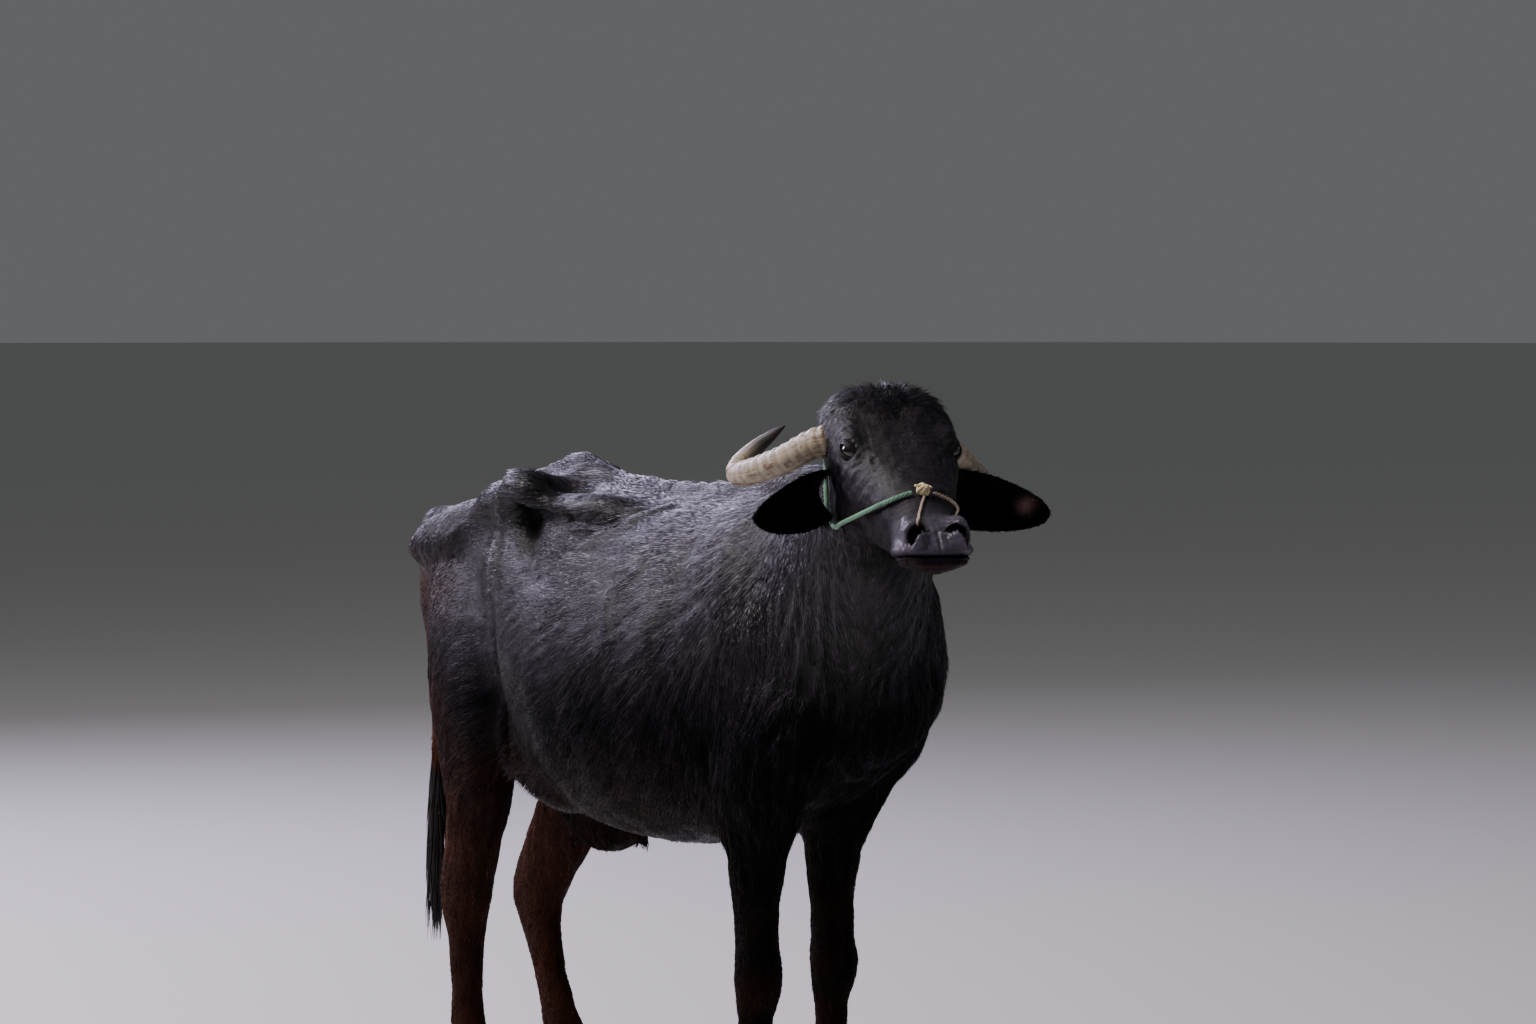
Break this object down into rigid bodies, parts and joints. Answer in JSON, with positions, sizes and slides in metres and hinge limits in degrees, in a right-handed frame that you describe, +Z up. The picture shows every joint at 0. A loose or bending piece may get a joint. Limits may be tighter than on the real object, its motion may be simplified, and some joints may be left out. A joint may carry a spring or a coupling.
{
  "type": "water buffalo",
  "caption": "Life-size still model of a water buffalo cow standing with its head turned to its right, with swept-back horns and a nose rope.",
  "frame": {"origin": "centre of the model's bounding box in plan, on the floor under it", "axes": "+X towards the front along the body, +Y to the animal's left, +Z up"},
  "size_m": [2.2114, 0.8418, 1.491],
  "materials": {
    "hide": "near-black hide with short flat hair and a bluish sheen",
    "horn": "cream horn with brown cracks and a grey-black tip",
    "hoof": "dull dark grey horn",
    "eye": "wet, almost black",
    "tail_hair": "coarse black hair",
    "nose_rope": "twisted green cord",
    "knot": "cream twine",
    "nose_cord": "thin tan cord"
  },
  "bodies": {
    "root": {"torso": "hide", "neck": "hide", "head": "hide", "leg_fore_left": "hide", "leg_fore_right": "hide", "leg_hind_left": "hide", "leg_hind_right": "hide", "udder": "hide", "tail": "hide", "tail_switch": "tail_hair", "ear_left": "hide", "ear_right": "hide", "horn_left": "horn", "horn_right": "horn", "eye_left": "eye", "eye_right": "eye", "hoof_fore_left": "hoof", "hoof_fore_right": "hoof", "hoof_hind_left": "hoof", "hoof_hind_right": "hoof", "nose_rope": "nose_rope", "nose_rope_left": "nose_cord", "rope_knot": "knot", "nose_cord": "nose_cord"}
  },
  "joints": []
}
